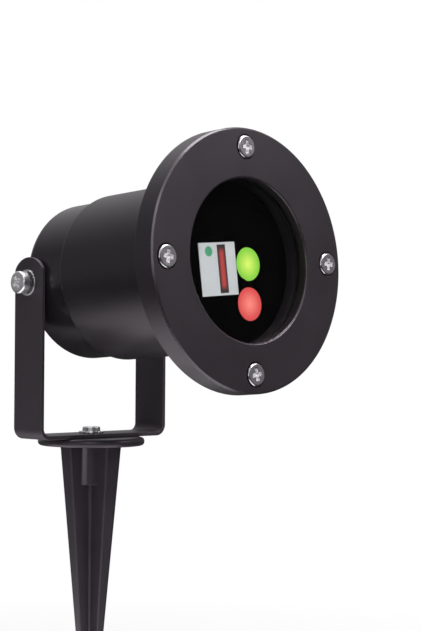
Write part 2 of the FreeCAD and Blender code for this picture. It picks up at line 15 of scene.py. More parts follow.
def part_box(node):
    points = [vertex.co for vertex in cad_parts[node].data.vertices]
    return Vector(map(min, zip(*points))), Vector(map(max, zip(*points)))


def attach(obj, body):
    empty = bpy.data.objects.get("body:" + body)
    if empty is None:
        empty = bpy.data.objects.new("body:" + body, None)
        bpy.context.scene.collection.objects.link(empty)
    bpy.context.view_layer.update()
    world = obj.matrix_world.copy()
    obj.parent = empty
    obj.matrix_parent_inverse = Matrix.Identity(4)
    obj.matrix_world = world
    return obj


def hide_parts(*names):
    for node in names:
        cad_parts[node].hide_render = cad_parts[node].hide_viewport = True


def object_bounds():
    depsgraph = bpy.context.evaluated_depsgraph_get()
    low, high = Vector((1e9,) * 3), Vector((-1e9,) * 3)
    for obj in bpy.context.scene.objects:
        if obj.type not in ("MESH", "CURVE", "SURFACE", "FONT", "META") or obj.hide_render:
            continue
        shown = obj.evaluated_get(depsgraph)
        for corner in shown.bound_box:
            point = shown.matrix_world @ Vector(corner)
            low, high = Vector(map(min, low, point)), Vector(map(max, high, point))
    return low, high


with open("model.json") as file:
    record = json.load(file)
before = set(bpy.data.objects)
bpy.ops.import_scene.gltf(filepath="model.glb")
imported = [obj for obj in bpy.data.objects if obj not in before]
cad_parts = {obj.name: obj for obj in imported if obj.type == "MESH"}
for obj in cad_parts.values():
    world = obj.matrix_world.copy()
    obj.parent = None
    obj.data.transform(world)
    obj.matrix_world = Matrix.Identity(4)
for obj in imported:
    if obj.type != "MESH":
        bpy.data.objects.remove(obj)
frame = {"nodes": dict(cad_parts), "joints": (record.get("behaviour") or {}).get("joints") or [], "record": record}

cad_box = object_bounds()
print("pieces in the frame:", len(frame["nodes"]))

# %% [markdown]
# ## The head's own axes
# The head looks up a little, so its round pieces are easier to describe about their own axis.
# The record tells where the tilt hinge is and which way the cable entry in the rear points,
# which is the same axis, so nothing has to be measured again.
# In these axes x is the part's x, y is up across the head, and z runs ahead, the way that the head looks.

# %% Axes of the tilted head
MM = 0.001
QUARTER_TURN = math.pi / 2
tilt_joint = next(joint for joint in frame["joints"] if joint["name"] == "head_tilt")
cable_entry = next(mount for mount in frame["record"]["mounts"] if mount["name"] == "cable_entry")
pivot = Vector(tilt_joint["pos_m"])
entry_place = Vector(cable_entry["pos_m"])
ahead = -Vector(cable_entry["axis"])
tilt = math.atan2(ahead.z, -ahead.y)
head_middle = entry_place + ahead * ahead.dot(pivot - entry_place)
head_axes = Matrix.Translation(head_middle) @ Matrix.Rotation(QUARTER_TURN - tilt, 4, "X")
upright = Matrix.Identity(4)
print("head tilted", round(math.degrees(tilt), 2), "degrees")


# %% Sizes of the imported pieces
def points_of(node, axes):
    """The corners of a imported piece, in the given axes."""
    turn_back = axes.inverted()
    return [turn_back @ corner.co for corner in frame["nodes"][node].data.vertices]


def ring_of(node, axes=head_axes):
    """Inner radius, outer radius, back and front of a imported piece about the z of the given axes."""
    points = points_of(node, axes)
    radii = [math.hypot(point.x, point.y) for point in points]
    heights = [point.z for point in points]
    return min(radii), max(radii), min(heights), max(heights)


bezel_opening, bezel_radius, bezel_back, bezel_front = ring_of("bezel")
print("bezel", round(2 * bezel_radius / MM, 1), "mm across")

# %% [markdown]
# ## The camera
# The photograph was taken from the front left, a little below the middle of the head, with a long lens.
# A long lens keeps the round bezel from bulging, so the focal length matters as much as the angle.
# Focal length is given in pixels of the picture, because that is how it is measured off a photograph.

# %% Camera at the photograph's angle
picture_height = 631
focal_pixels = 1750.4
sensor = 36.0
view_azimuth = math.radians(-44.53)
view_elevation = math.radians(-0.68)
view_roll = math.radians(0.41)
view_distance = 774.0 * MM
view_shift_side = 52.35 * MM
view_shift_up = -13.51 * MM
aim_drop = 1.16 * MM

back = Vector((
    math.sin(view_azimuth) * math.cos(view_elevation),
    -math.cos(view_azimuth) * math.cos(view_elevation),
    math.sin(view_elevation),
))
level_right = (-back).cross(Vector((0, 0, 1))).normalized()
level_up = level_right.cross(-back)
rolled_right = level_right * math.cos(view_roll) + level_up * math.sin(view_roll)
rolled_up = level_up * math.cos(view_roll) - level_right * math.sin(view_roll)
aim = head_middle - Vector((0, 0, aim_drop))
place = aim + back * view_distance + level_right * view_shift_side + level_up * view_shift_up

camera_data = bpy.data.cameras.new("photo_camera")
camera_data.sensor_width = sensor
camera_data.lens = sensor * focal_pixels / picture_height
camera = bpy.data.objects.new("photo_camera", camera_data)
camera_turn = Matrix((rolled_right, rolled_up, back)).transposed().to_4x4()
camera.matrix_world = Matrix.Translation(place) @ camera_turn
bpy.context.scene.collection.objects.link(camera)
bpy.context.scene.camera = camera
print("camera lens", round(camera_data.lens, 1), "mm")

# %% [markdown]
# ## The studio
# A product like this is photographed on white, under big soft lamps.
# Black paint shows its shape only by what it mirrors,
# so it needs something dark to mirror as well as something bright.
# To the camera the background is plain white, but the part stands on a white card in a dim room,
# lit by four soft lamps, a pale ceiling and four soft glows.
# A few short helpers come first, because shader nodes made one by one take many lines.

# %% A short way to add shader nodes
WHITE = (1, 1, 1, 1)


def connect(tree, node, inputs):
    """Sets or links inputs of a shader node, given by name or number."""
    for name, value in inputs.items():
        if isinstance(value, bpy.types.NodeSocket):
            tree.links.new(value, node.inputs[name])
        else:
            node.inputs[name].default_value = value


def add_node(tree, kind, inputs=None, **settings):
    """A new shader node with its settings and inputs."""
    made = tree.nodes.new(kind)
    for name, value in settings.items():
        setattr(made, name, value)
    connect(tree, made, inputs or {})
    return made


def calculated(tree, operation, first, second, clamp=False):
    """The result of a sum on two values."""
    inputs = {0: first, 1: second}
    return add_node(tree, "ShaderNodeMath", inputs, operation=operation, use_clamp=clamp).outputs[0]


def ranged(tree, value, start, end, low=0.0, high=1.0, smooth=False):
    """A value brought from one range into another."""
    return add_node(tree, "ShaderNodeMapRange", {
        "Value": value, "From Min": start, "From Max": end, "To Min": low, "To Max": high,
    }, interpolation_type="SMOOTHSTEP" if smooth else "LINEAR").outputs["Result"]


# %% Measuring places with shader nodes
def along(tree, spot, direction):
    """How far a place lies along a direction."""
    inputs = {0: spot, 1: direction}
    return add_node(tree, "ShaderNodeVectorMath", inputs, operation="DOT_PRODUCT").outputs["Value"]


def distance(tree, spot):
    """How far a place is from the origin."""
    return add_node(tree, "ShaderNodeVectorMath", {0: spot}, operation="LENGTH").outputs["Value"]


def from_axis(tree, spot):
    """How far a place is from the z axis."""
    level = add_node(tree, "ShaderNodeVectorMath", {0: spot, 1: (1, 1, 0)}, operation="MULTIPLY")
    return distance(tree, level.outputs["Vector"])


# %% [markdown]
# Light Path tells what kind of ray is asking. Rays that look at the background,
# straight or through clear glass, get plain white.
# Mirrored rays get a share of it, so that metal still shows a pale room.
# A ray that has already bounced off something behind the glass doesn't count as looking through it.

# %% Which rays see the white background
def seen_directly(tree, mirrored_share):
    """1 for rays that look at the background, with mirrored rays counted by a share."""
    path = add_node(tree, "ShaderNodeLightPath").outputs
    bounces = calculated(tree, "ADD", path["Diffuse Depth"], path["Glossy Depth"], clamp=True)
    unbounced = calculated(tree, "SUBTRACT", 1.0, bounces)
    through_glass = calculated(tree, "MULTIPLY", path["Is Transmission Ray"], unbounced)
    looking = calculated(tree, "MAXIMUM", path["Is Camera Ray"], through_glass)
    mirrored = calculated(tree, "MULTIPLY", path["Is Glossy Ray"], mirrored_share)
    return calculated(tree, "MAXIMUM", looking, mirrored)


# %% [markdown]
# The room depends on direction alone: it is dim at eye level and paler towards the ceiling.
# Each glow is a round patch of that room, brightest in the middle, and it gives the black coat
# a pale edge to mirror on one side. The one at the far left is for the round boss of the stake.
# A glow starts where the cosine of the angle to its middle passes the value given as start.
# Lamps could do the same, but a patch of the world has no hard edge and stays out of every view.

# %% Glows
glows = {
    "behind_right": {"light": 0.34, "direction": (0.40, 0.85, 0.33), "start": 0.62},
    "behind_left": {"light": 0.22, "direction": (-0.70, 0.71, 0.0), "start": 0.88},
    "front_right": {"light": 0.12, "direction": (0.70, -0.71, 0.0), "start": 0.86},
    "far_left": {"light": 1.35, "direction": (-0.98, -0.20, -0.07), "start": 0.94},
}
print("glows in the room:", ", ".join(glows))

# %% The room and its ceiling
room_dark = 0.08
ceiling_light = 0.31
ceiling_start = 0.05
ceiling_end = 0.90
mirrored_white_share = 0.02
world = bpy.data.worlds.new("studio")
world.use_nodes = True
bpy.context.scene.world = world
tree = world.node_tree
tree.nodes.clear()
outwards = add_node(tree, "ShaderNodeTexCoord").outputs["Generated"]
height = add_node(tree, "ShaderNodeSeparateXYZ", {"Vector": outwards}).outputs["Z"]
room = ranged(tree, height, ceiling_start, ceiling_end, room_dark, ceiling_light, smooth=True)
for glow in glows.values():
    facing = along(tree, outwards, Vector(glow["direction"]).normalized())
    patch_light = ranged(tree, facing, glow["start"], 1.0, 0.0, glow["light"], smooth=True)
    room = calculated(tree, "ADD", room, patch_light)
room_light = add_node(tree, "ShaderNodeBackground", {"Color": room}).outputs[0]
white_sheet = add_node(tree, "ShaderNodeBackground", {"Color": WHITE}).outputs[0]
seen = seen_directly(tree, mirrored_white_share)
mixed = add_node(tree, "ShaderNodeMixShader", {0: seen, 1: room_light, 2: white_sheet})
add_node(tree, "ShaderNodeOutputWorld", {"Surface": mixed.outputs[0]})
print("world of", len(tree.nodes), "nodes")

# %% [markdown]
# The floor is one large round sheet. It is cut off at the left,
# because there the polished boss of the stake would mirror the sheet and not the glow behind it.

# %% Floor sheet
floor_radius = 4.0
floor_left = 1.2
floor_gap = 0.3 * MM
floor_bm = bmesh.new()
bmesh.ops.create_circle(floor_bm, cap_ends=True, segments=96, radius=floor_radius)
floor_parts = floor_bm.verts[:] + floor_bm.edges[:] + floor_bm.faces[:]
bmesh.ops.bisect_plane(floor_bm, geom=floor_parts, clear_outer=True,
                       plane_co=Vector((-floor_left, 0, 0)), plane_no=(-1, 0, 0))
bmesh.ops.translate(floor_bm, vec=(0, 0, cad_box[0].z - floor_gap), verts=floor_bm.verts)
floor_mesh = bpy.data.meshes.new("floor")
floor_bm.to_mesh(floor_mesh)
floor_bm.free()
floor = bpy.data.objects.new("floor", floor_mesh)
bpy.context.scene.collection.objects.link(floor)
print("floor at", round(cad_box[0].z / MM, 1), "mm")

# %% [markdown]
# The card lies askew and ends a little way behind the part, and beyond it the table is dark.
# The barrel and the bezel's side mirror the card, which draws the pale band along their lower half.
# The camera sees card and table alike as white paper that fades into the background,
# with the part's shadow on it. Card and table are one material, so no edge has to be modelled.

# %% Where the card lies
card_turn = math.radians(30)
card_edge = 0.108
card_side = 0.08
card_blur = 0.006
card_reach = 0.38
paper = bpy.data.materials.new("white_paper")
paper.use_nodes = True
tree = paper.node_tree
where = add_node(tree, "ShaderNodeTexCoord").outputs["Object"]
behind = along(tree, where, (math.sin(card_turn), math.cos(card_turn), 0))
beside = add_node(tree, "ShaderNodeSeparateXYZ", {"Vector": where}).outputs["X"]
away = from_axis(tree, where)
in_length = ranged(tree, behind, card_edge - card_blur, card_edge + card_blur, 1.0, 0.0, smooth=True)
in_width = ranged(tree, beside, card_side - card_blur, card_side + card_blur, 1.0, 0.0, smooth=True)
in_reach = ranged(tree, away, card_reach / 2, card_reach, 1.0, 0.0, smooth=True)
on_card = calculated(tree, "MULTIPLY", calculated(tree, "MULTIPLY", in_length, in_width), in_reach)
print("card ends", round(card_edge / MM), "mm behind the stake")

# %% White paper on a dark table
card_glow = 0.75
table_dark = 0.03
paper_white = 0.86
paper_roughness = 0.9
paper_specular = 0.1
fade_start = 0.16
fade_end = 0.5
sheet = tree.nodes["Principled BSDF"]
looking = seen_directly(tree, 0.0)
pale = calculated(tree, "MAXIMUM", on_card, looking)
unseen = calculated(tree, "SUBTRACT", on_card, looking, clamp=True)
connect(tree, sheet, {
    "Base Color": ranged(tree, pale, 0.0, 1.0, table_dark, paper_white),
    "Emission Color": WHITE,
    "Emission Strength": calculated(tree, "MULTIPLY", unseen, card_glow),
    "Roughness": paper_roughness,
    "Specular IOR Level": paper_specular,
})
fade = ranged(tree, away, fade_start, fade_end, smooth=True)
share = calculated(tree, "MULTIPLY", fade, looking)
white = add_node(tree, "ShaderNodeEmission", {"Color": WHITE, "Strength": 1.0}).outputs[0]
mixed = add_node(tree, "ShaderNodeMixShader", {0: share, 1: sheet.outputs[0], 2: white})
connect(tree, tree.nodes["Material Output"], {"Surface": mixed.outputs[0]})
floor_mesh.materials.append(paper)
print("floor wears", paper.name)


# %% [markdown]
# Four soft lamps face the head, as a photographer would set them: a broad one overhead,
# a wide one in front on the right, a long narrow strip above the front, and a tall one near the camera.
# Area lamps give every reflection a soft edge, and their power stays low,
# so that a colour renders about as it is written.

# %% Lamps
def softbox(name, place, width, depth, power, turn=0.0):
    """A soft rectangular lamp that faces the head, turned about its own axis."""
    lamp = bpy.data.lights.new(name, "AREA")
    lamp.shape = "RECTANGLE"
    lamp.size = width
    lamp.size_y = depth
    lamp.energy = power
    box = bpy.data.objects.new(name, lamp)
    box.location = place
    facing = (Vector(place) - head_middle).to_track_quat("Z", "Y")
    box.rotation_euler = (facing.to_matrix() @ Matrix.Rotation(turn, 3, "Z")).to_euler()
    bpy.context.scene.collection.objects.link(box)


softbox("overhead_lamp", place=(0.10, 0.05, 0.85), width=0.7, depth=0.5, power=7.0)
softbox("front_lamp", place=(0.54, -0.88, 0.665), width=0.6, depth=0.2, power=5.2)
softbox("strip_lamp", place=(-0.19, -0.56, 0.98), width=1.2, depth=0.16, power=1.8, turn=math.radians(45))
softbox("camera_lamp", place=(-0.72, -0.74, 0.46), width=0.20, depth=0.90, power=1.5)
bpy.context.scene.view_settings.view_transform = "Standard"


# %% [markdown]
# ## Finishes
# Each finish is a shader whose colour, gloss and relief vary a little, as on any made surface.
# Two noises do most of the work: a fine one for the grain and a broad one for handling and uneven gloss.
# They read Object coordinates, so a grain of a given size in millimetres stays that size on every piece.

# %% Helpers for a finish
def between(tree, factor, first, second):
    """A colour between two others."""
    mix = add_node(tree, "ShaderNodeMix", {"Factor": factor}, data_type="RGBA")
    colours = [socket for socket in mix.inputs if socket.type == "RGBA"]
    for socket, colour in zip(colours, (first, second)):
        if isinstance(colour, bpy.types.NodeSocket):
            tree.links.new(colour, socket)
        else:
            socket.default_value = (*colour, 1)
    return next(socket for socket in mix.outputs if socket.type == "RGBA")


def noise(tree, where, size, detail):
    """Noise with lumps of about the given size in metres."""
    inputs = {"Vector": where, "Scale": 1 / size, "Detail": detail}
    return add_node(tree, "ShaderNodeTexNoise", inputs).outputs[0]


def new_finish(name, metallic=0.0, specular=0.5):
    """An empty finish: the material, its tree, its shader and the place on the piece."""
    material = bpy.data.materials.new(name)
    material.use_nodes = True
    tree = material.node_tree
    shader = tree.nodes["Principled BSDF"]
    connect(tree, shader, {"Metallic": metallic, "Specular IOR Level": specular})
    where = add_node(tree, "ShaderNodeTexCoord").outputs["Object"]
    return material, tree, shader, where


# %% The recipe for a finish
grain_detail = 3.0
grain_range = (0.35, 0.65)
grain_share = 0.4
patch_detail = 5.0
patch_range = (0.3, 0.7)
patch_share = 0.6


def finish(name, dark, light, rough, grain, relief, patch=18 * MM, metallic=0.0, specular=0.5,
           tint=(1, 1, 1)):
    """A finish between two colours and two roughnesses, with a grain and its relief in metres."""
    material, tree, shader, where = new_finish(name, metallic, specular)
    fine = noise(tree, where, grain, grain_detail)
    broad = noise(tree, where, patch, patch_detail)
    speckle = ranged(tree, fine, *grain_range, 0.0, grain_share)
    cloud = ranged(tree, broad, *patch_range, 0.0, patch_share)
    both = calculated(tree, "ADD", cloud, speckle, clamp=True)
    bump = add_node(tree, "ShaderNodeBump", {"Height": fine, "Strength": 1.0, "Distance": relief})
    connect(tree, shader, {
        "Base Color": between(tree, both, dark, light),
        "Roughness": ranged(tree, both, 0.0, 1.0, *rough),
        "Specular Tint": (*tint, 1),
        "Normal": bump.outputs["Normal"],
    })
    return material


# %% [markdown]
# The head is cast and turned aluminium under a satin black coat, which dries with a very fine orange peel.
# The black, in its colour and in its reflections, is tinted plum, which stands in for a slightly magenta light and
# is painted light.
# Along the rim and the lip the coat is made lighter and glossier, a painted highlight, and the rear cap is
# glossier than the barrel. The strap is steel with a duller coat, and the plate behind the window is painted near
# black, as painted shade for the deep recess.

# %% Coats
# The plum cast, in the coats' reflections here and in the colours of the coats, plastics and zinc, stands in for a
# slightly magenta light: it is painted light.
plum_light_tint = (1.0, 0.88, 1.0)
coat_grain = 0.35 * MM
tube_dark = (0.0125, 0.0105, 0.0128)
tube_light = (0.018, 0.0152, 0.0184)
bezel_coat = finish(
    "bezel_coat", dark=(0.019, 0.0155, 0.0195), light=(0.026, 0.0215, 0.0265),
    rough=(0.36, 0.44), grain=coat_grain, relief=0.006 * MM, tint=plum_light_tint)
# A lighter, glossier copy of the bezel's coat: a painted highlight for the rim chamfer and the lip.
highlight_edge_coat = finish(
    "highlight_edge_coat", dark=(0.026, 0.0215, 0.0265), light=(0.036, 0.030, 0.037),
    rough=(0.24, 0.30), grain=coat_grain, relief=0.004 * MM, specular=0.9, tint=plum_light_tint)
tube_coat = finish(
    "tube_coat", dark=tube_dark, light=tube_light,
    rough=(0.34, 0.40), grain=coat_grain, relief=0.005 * MM, tint=plum_light_tint)
cap_coat = finish(
    "cap_coat", dark=tube_dark, light=tube_light,
    rough=(0.19, 0.25), grain=coat_grain, relief=0.004 * MM, tint=plum_light_tint)
strap_coat = finish(
    "strap_coat", dark=(0.039, 0.033, 0.040), light=(0.047, 0.0405, 0.0486),
    rough=(0.42, 0.52), grain=0.45 * MM, relief=0.008 * MM, specular=0.45, tint=plum_light_tint)
# Nearly black and without gloss: the plate behind the window is made darker than paint is, as painted shade for
# the deep recess.
recess_shade_black = finish(
    "recess_shade_black", dark=(0.0008, 0.0007, 0.0008), light=(0.0018, 0.0016, 0.0018),
    rough=(0.6, 0.75), grain=0.3 * MM, relief=0.008 * MM, specular=0.0)
print("materials with the coats:", len(bpy.data.materials))

# %% [markdown]
# The stake is moulded from plastic with a sand-blasted skin, apart from its boss,
# which comes out of a polished part of the mould. The cable gland and the pads between strap and head
# are black nylon, and the seals are matt rubber. The same recipe makes them all, with other numbers.

# %% Plastics and rubber
stake_dark = (0.030, 0.025, 0.031)
stake_light = (0.042, 0.036, 0.044)
stake_grain = 0.28 * MM
stake_plastic = finish(
    "stake_plastic", dark=stake_dark, light=stake_light,
    rough=(0.30, 0.38), grain=stake_grain, relief=0.012 * MM, specular=0.45, tint=plum_light_tint)
boss_plastic = finish(
    "boss_plastic", dark=stake_dark, light=stake_light,
    rough=(0.16, 0.22), grain=stake_grain, relief=0.004 * MM, specular=0.9, tint=plum_light_tint)
gland_plastic = finish(
    "gland_plastic", dark=(0.012, 0.011, 0.012), light=(0.017, 0.016, 0.017),
    rough=(0.38, 0.5), grain=0.3 * MM, relief=0.008 * MM, specular=0.45)
nylon = finish(
    "black_nylon", dark=(0.012, 0.011, 0.012), light=(0.018, 0.017, 0.018),
    rough=(0.4, 0.5), grain=0.4 * MM, relief=0.006 * MM)
rubber = finish(
    "rubber", dark=(0.010, 0.010, 0.010), light=(0.016, 0.016, 0.016),
    rough=(0.7, 0.85), grain=0.4 * MM, relief=0.012 * MM, specular=0.3)
print("materials with plastics and rubber:", len(bpy.data.materials))

# %% [markdown]
# Screws and washers are zinc plated, with the small cloudy patches that plating leaves.
# The bezel's screws are greyer than the bolts, and the spring washers are left dark. The recess in a head is made
# pale and matt, a painted highlight where light catches its walls. So each gets colours of its own, in patches of
# a few millimetres.

# %% Metals
# The slight plum cast in these zinc colours is painted light too, standing in for the magenta light.
zinc = finish(
    "zinc_plate", dark=(0.56, 0.56, 0.58), light=(0.78, 0.78, 0.80), rough=(0.20, 0.36),
    grain=0.5 * MM, relief=0.006 * MM, patch=2.5 * MM, metallic=1.0)
screw_zinc = finish(
    "screw_zinc", dark=(0.50, 0.475, 0.505), light=(0.66, 0.63, 0.665), rough=(0.17, 0.25),
    grain=0.4 * MM, relief=0.005 * MM, patch=2.5 * MM, metallic=1.0)
bolt_zinc = finish(
    "bolt_zinc", dark=(0.74, 0.72, 0.745), light=(0.90, 0.88, 0.905), rough=(0.28, 0.42),
    grain=0.4 * MM, relief=0.005 * MM, patch=2.5 * MM, metallic=1.0)
# Pale matt zinc for the screw recesses: a painted highlight on the recess walls.
recess_highlight_zinc = finish(
    "recess_highlight_zinc", dark=(0.86, 0.83, 0.865), light=(0.96, 0.93, 0.965), rough=(0.60, 0.72),
    grain=0.3 * MM, relief=0.005 * MM, patch=1.5 * MM, metallic=1.0)
dark_steel = finish(
    "dark_steel", dark=(0.10, 0.095, 0.10), light=(0.17, 0.16, 0.17), rough=(0.3, 0.45),
    grain=0.3 * MM, relief=0.006 * MM, patch=3 * MM, metallic=1.0)
brass = finish(
    "module_brass", dark=(0.55, 0.38, 0.14), light=(0.72, 0.52, 0.22), rough=(0.22, 0.36),
    grain=0.4 * MM, relief=0.004 * MM, patch=5 * MM, metallic=1.0)
aluminium = finish(
    "block_aluminium", dark=(0.55, 0.55, 0.56), light=(0.70, 0.70, 0.71), rough=(0.3, 0.45),
    grain=0.3 * MM, relief=0.006 * MM, patch=6 * MM, metallic=1.0)
print("materials with the metals:", len(bpy.data.materials))

# %% [markdown]
# Shut inside the head are a green lacquered board, its black components and two red leads.
# They only show when the head is taken apart, but a reusable part may be, so they get finishes too.

# %% Electronics
board_green = finish(
    "board_green", dark=(0.010, 0.075, 0.03), light=(0.014, 0.11, 0.045),
    rough=(0.3, 0.4), grain=0.6 * MM, relief=0.01 * MM)
component = finish(
    "component_black", dark=(0.012, 0.012, 0.013), light=(0.022, 0.022, 0.024),
    rough=(0.4, 0.55), grain=0.3 * MM, relief=0.01 * MM)
lead_red = finish(
    "lead_red", dark=(0.32, 0.015, 0.012), light=(0.42, 0.025, 0.02),
    rough=(0.4, 0.5), grain=0.5 * MM, relief=0.005 * MM)
print("materials with the electronics:", len(bpy.data.materials))

# %% [markdown]
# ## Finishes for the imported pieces
# Turned tubes, seals and the pieces shut inside the head already have their true shape.
# They keep it, and only get the finish that the real piece has.

# %% Hand out finishes
finish_of = {
    "barrel": tube_coat, "rear_cap": cap_coat, "aperture_plate": recess_shade_black, "stake": stake_plastic,
    "plate_screws": recess_shade_black, "block_screws": recess_shade_black, "module_set_screws": dark_steel,
    "board_screws": zinc, "bezel_seal": rubber, "glass_gasket": rubber, "cap_seal": rubber,
    "gland_seal": rubber, "gland_washer": rubber, "gland_body": gland_plastic, "gland_nut": gland_plastic,
    "gland_locknut": gland_plastic, "green_module": brass, "red_module": brass, "board_posts": brass,
    "module_block": aluminium, "driver_board": board_green, "board_components": component,
    "module_leads": lead_red, "pivot_pads": nylon,
}


def wear(piece, material):
    """Puts one finish on a whole piece."""
    piece.data.materials.clear()
    piece.data.materials.append(material)


for node_name, material in finish_of.items():
    wear(frame["nodes"][node_name], material)
print("packed pieces with a finish:", len(finish_of))

# %% [markdown]
# ## Tools for new pieces
# Most of the pieces that need finer shapes are round, so one helper turns a profile on a lathe.
# Others round a ring of edges, take one shape out of another, and soften what is still sharp,
# because real edges are never perfectly sharp and it is the small round on an edge that catches the light.

# %% Lathe
NEAR = 0.002 * MM
FULL_TURN = 2 * math.pi


def lathe(profile, steps=96, closed=True):
    """A shape turned about z from a profile of radius and height."""
    bm = bmesh.new()
    corners = [bm.verts.new((radius, 0, height)) for radius, height in profile]
    chain = corners + corners[:1] if closed else corners
    edges = [bm.edges.new(pair) for pair in zip(chain, chain[1:])]
    bmesh.ops.spin(bm, geom=corners + edges, axis=(0, 0, 1), cent=(0, 0, 0), angle=FULL_TURN, steps=steps,
                   use_merge=True)
    bmesh.ops.remove_doubles(bm, verts=bm.verts, dist=NEAR)
    bmesh.ops.recalc_face_normals(bm, faces=bm.faces)
    return bm


def rod(radius, start, end, steps=64):
    """A plain round rod along z."""
    return lathe([(0, start), (radius, start), (radius, end), (0, end)], steps, closed=False)


# %% Edge rounding
def round_ring(bm, radius, height, size, segments=4):
    """Rounds the circular edge at one radius and height."""
    def on_ring(vert):
        return abs(math.hypot(vert.co.x, vert.co.y) - radius) < NEAR and abs(vert.co.z - height) < NEAR
    ring = [edge for edge in bm.edges if all(on_ring(vert) for vert in edge.verts)]
    bmesh.ops.bevel(bm, geom=ring, offset=size, affect="EDGES", segments=segments, profile=0.5, material=-1)


def soften(bm, size, segments=2, sharper_than=math.radians(38)):
    """Rounds every edge that is still sharp."""
    sharp = [edge for edge in bm.edges if edge.is_manifold and edge.calc_face_angle(0) > sharper_than]
    bmesh.ops.bevel(bm, geom=sharp, offset=size, affect="EDGES", segments=segments, profile=0.5,
                    material=-1, clamp_overlap=True)


# %% [markdown]
# Carving uses the Boolean modifier on objects that live only for a moment.
# The modifier's result is read back as a mesh, so the finished piece carries no cutters with it.
# A flat sheet can be given its thickness in the same go.

# %% Carving
def loose_object(bm):
    """An object that only lives while a shape is being carved."""
    mesh = bpy.data.meshes.new("carving")
    bm.to_mesh(mesh)
    bm.free()
    made = bpy.data.objects.new("carving", mesh)
    bpy.context.scene.collection.objects.link(made)
    return made


def carved(bm, cutters, gauge=None):
    """A shape with the cutters taken out of it, after a sheet has been given its gauge."""
    body = loose_object(bm)
    tools = [loose_object(cutter) for cutter in cutters]
    if gauge:
        thicken = body.modifiers.new("gauge", "SOLIDIFY")
        thicken.thickness = gauge
        thicken.offset = 0
        thicken.use_even_offset = True
    for tool in tools:
        cut = body.modifiers.new("cut", "BOOLEAN")
        cut.operation = "DIFFERENCE"
        cut.solver = "EXACT"
        cut.object = tool
    bpy.context.view_layer.update()
    mesh = bpy.data.meshes.new_from_object(body.evaluated_get(bpy.context.evaluated_depsgraph_get()))
    result = bmesh.new()
    result.from_mesh(mesh)
    bpy.data.meshes.remove(mesh)
    for spent in [body, *tools]:
        spent_mesh = spent.data
        bpy.data.objects.remove(spent)
        bpy.data.meshes.remove(spent_mesh)
    bmesh.ops.remove_doubles(result, verts=result.verts, dist=NEAR)
    return result


# %% Joining
def join(bm, other, place):
    """Adds a moved copy of another shape, which is then used up."""
    mesh = bpy.data.meshes.new("copy")
    other.to_mesh(mesh)
    other.free()
    mesh.transform(place)
    bm.from_mesh(mesh)
    bpy.data.meshes.remove(mesh)


# %% [markdown]
# A shape becomes a piece when it has an object, a finish and a body to ride on.
# Smooth shading alone would smear light across flat faces that meet a bevel,
# so the Weighted Normal modifier lets the big faces keep their own direction.

# %% From shape to piece
def make_piece(bm, name, body, finishes, replaced=None, axes=upright, crease=math.radians(40)):
    """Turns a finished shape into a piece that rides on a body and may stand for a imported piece."""
    bmesh.ops.transform(bm, matrix=axes, verts=bm.verts)
    for face in bm.faces:
        face.smooth = True
    for edge in bm.edges:
        edge.smooth = not edge.is_manifold or edge.calc_face_angle(0) < crease
    mesh = bpy.data.meshes.new(name)
    bm.to_mesh(mesh)
    bm.free()
    for material in finishes:
        mesh.materials.append(material)
    piece = bpy.data.objects.new(name, mesh)
    bpy.context.scene.collection.objects.link(piece)
    even = piece.modifiers.new("even_shading", "WEIGHTED_NORMAL")
    even.keep_sharp = True
    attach(piece, body)
    if replaced:
        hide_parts(replaced)
    print("made", name, "with", len(mesh.polygons), "faces")
    return piece


# %% [markdown]
# ## Bezel
# The bezel is turned from one piece: a cup that caps the flange, with four counterbores for its screws.
# Turning the profile and then drilling it is how the real one is made, so the mesh is made the same way.
# A narrow chamfer on the rim and the round on the opening's lip wear a lighter, glossier copy of the coat,
# a painted highlight for the thin pale lines that outline the bezel.

# %% Where the bezel and its screws are
rim_chamfer = 0.75 * MM
opening_round = 0.9 * MM
back_round = 0.4 * MM
skirt_clearance = 0.4 * MM
screw_clearance = 0.25 * MM
counterbore_clearance = 0.45 * MM
overrun = 1.0 * MM
shank_radius = 2.5 * MM
screw_head_height = 2.7 * MM
plate_back = ring_of("front_glass")[3]
skirt_inside = ring_of("barrel")[1] + skirt_clearance
inner_edge, outer_edge, screw_end, screw_top = ring_of("bezel_screws")
screw_circle = (inner_edge + outer_edge) / 2
screw_head_radius = (outer_edge - inner_edge) / 2
screw_seat = screw_top - screw_head_height
counterbore_radius = screw_head_radius + counterbore_clearance
screw_angles = [math.radians(90 * quarter) for quarter in range(4)]
print("bezel screws on a circle of", round(2 * screw_circle / MM, 1), "mm")


# %% Drills for the screws
def around(angle, radius):
    """A place on a circle about the axis."""
    return Matrix.Rotation(angle, 4, "Z") @ Matrix.Translation((radius, 0, 0))


drills = []
for angle in screw_angles:
    drill = lathe([
        (0, plate_back - overrun), (shank_radius + screw_clearance, plate_back - overrun),
        (shank_radius + screw_clearance, screw_seat), (counterbore_radius, screw_seat),
        (counterbore_radius, bezel_front + overrun), (0, bezel_front + overrun),
    ], steps=64, closed=False)
    bmesh.ops.transform(drill, matrix=around(angle, screw_circle), verts=drill.verts)
    drills.append(drill)
print("drills:", len(drills))

# %% Turn and drill the bezel
bezel_edge = 0.12 * MM
bezel_bm = lathe([
    (bezel_opening, bezel_front), (bezel_opening, plate_back), (skirt_inside, plate_back),
    (skirt_inside, bezel_back), (bezel_radius, bezel_back), (bezel_radius, bezel_front),
], steps=192)
round_ring(bezel_bm, bezel_radius, bezel_front, rim_chamfer, segments=1)
round_ring(bezel_bm, bezel_opening, bezel_front, opening_round, segments=3)
round_ring(bezel_bm, bezel_radius, bezel_back, back_round, segments=3)
bezel_bm = carved(bezel_bm, drills)
soften(bezel_bm, bezel_edge)
